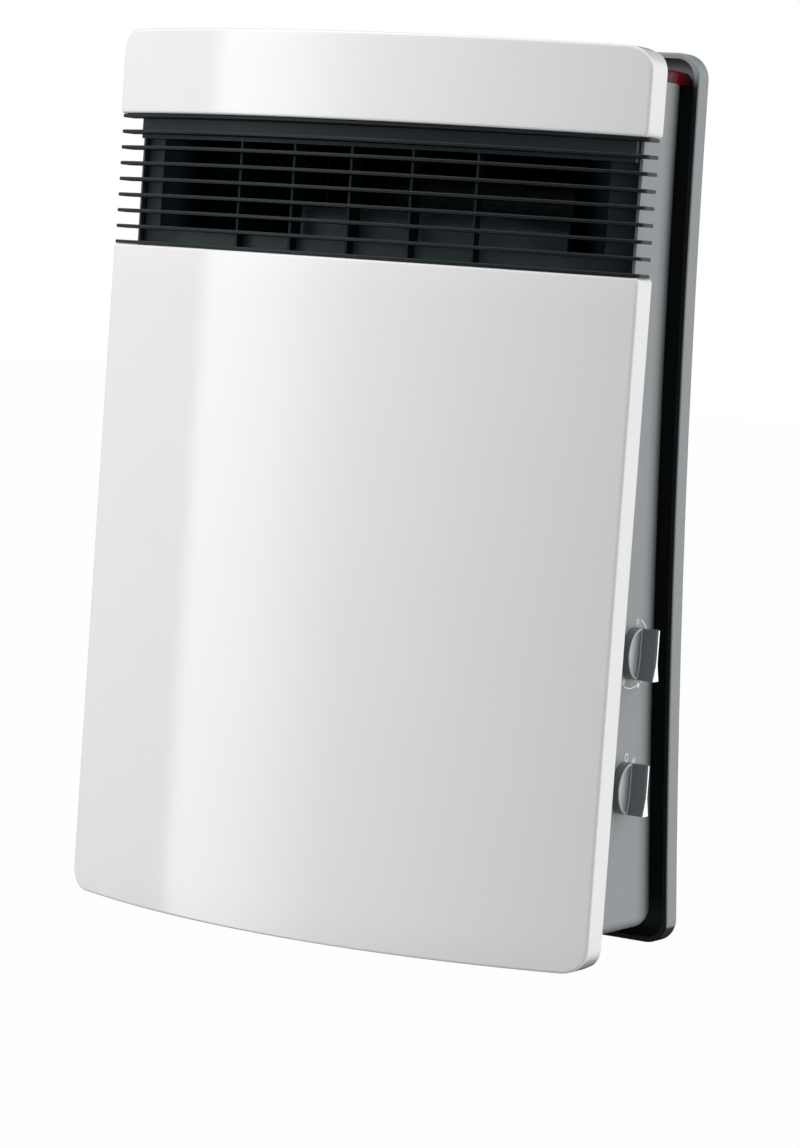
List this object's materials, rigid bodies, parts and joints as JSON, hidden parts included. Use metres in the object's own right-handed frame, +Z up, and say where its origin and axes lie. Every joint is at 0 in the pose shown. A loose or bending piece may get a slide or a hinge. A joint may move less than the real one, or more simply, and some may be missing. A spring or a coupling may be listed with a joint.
{
  "type": "fan heater",
  "caption": "Compact upright fan heater: bowed glossy covers, slatted warm-air outlet, grey housing with two side knobs, curved back cover.",
  "frame": {"origin": "middle of the four feet, on the surface the heater stands on", "axes": "+X to the right as seen from the front, +Y to the back, +Z up"},
  "size_m": [0.2958, 0.1294, 0.4267],
  "materials": {
    "gloss_cover": "high gloss",
    "grey_housing": "fine satin grain",
    "grey_back": "fine satin grain",
    "dark_grille": "satin",
    "dark_duct": "matt",
    "knob_plastic": "satin",
    "inlay_silver": "brushed",
    "lens_red": "clear red, faceted inside",
    "lamp_glass": "clear",
    "sheet_steel": "galvanised",
    "fan_plastic": "matt",
    "shaft_steel": "ground",
    "bush_bronze": "sintered",
    "core_steel": "laminated, lacquered",
    "coil_copper": "taped winding",
    "mica_board": "pressed board",
    "fin_aluminium": "bright",
    "bakelite": "moulded",
    "switch_plastic": "moulded",
    "terminal_white": "moulded",
    "rubber_black": "matt",
    "screw_steel": "zinc plated"
  },
  "bodies": {
    "heater": {"air_tongue": "sheet_steel", "back_cover": "grey_back", "case_screws": "screw_steel", "casing_screws": "screw_steel", "control_plate": "sheet_steel", "control_screws": "screw_steel", "cord_gland": "rubber_black", "cover_screws": "screw_steel", "cutout_bracket": "sheet_steel", "element_frame": "mica_board", "fan_casing": "sheet_steel", "fan_end_bush": "bush_bronze", "foot_front_left": "rubber_black", "foot_front_right": "rubber_black", "foot_rear_left": "rubber_black", "foot_rear_right": "rubber_black", "front_cover": "gloss_cover", "heating_bars": "fin_aluminium", "heating_fins": "fin_aluminium", "housing": "grey_housing", "motor_bracket_left": "sheet_steel", "motor_bracket_right": "sheet_steel", "motor_bush_left": "bush_bronze", "motor_bush_right": "bush_bronze", "motor_coil": "coil_copper", "motor_core": "core_steel", "motor_screws": "screw_steel", "outlet_funnel": "dark_duct", "outlet_grille": "dark_grille", "selector_switch": "switch_plastic", "signal_lamp": "lamp_glass", "signal_lens": "lens_red", "terminal_block": "terminal_white", "thermal_cutout": "bakelite", "thermostat": "switch_plastic", "top_cover": "gloss_cover"},
    "fan": {"fan_rotor": "fan_plastic", "fan_shaft": "shaft_steel", "motor_rotor": "shaft_steel"},
    "thermostat_control": {"thermostat_knob": "knob_plastic", "thermostat_knob_inlay": "inlay_silver", "thermostat_shaft": "shaft_steel"},
    "selector_control": {"selector_knob": "knob_plastic", "selector_knob_inlay": "inlay_silver", "selector_shaft": "shaft_steel"}
  },
  "joints": [
    {"name": "fan_spin", "type": "hinge", "parent": "heater", "child": "fan", "pos_m": [0.0315, -0.014, 0.294], "axis": [1, 0, 0], "continuous": true},
    {"name": "thermostat_turn", "type": "hinge", "parent": "heater", "child": "thermostat_control", "pos_m": [0.1383, -0.0054, 0.1484], "axis": [-1, 0, 0], "range_deg": [0, 270]},
    {"name": "selector_turn", "type": "hinge", "parent": "heater", "child": "selector_control", "pos_m": [0.1383, -0.0054, 0.0853], "axis": [-1, 0, 0], "range_deg": [0, 135]}
  ]
}
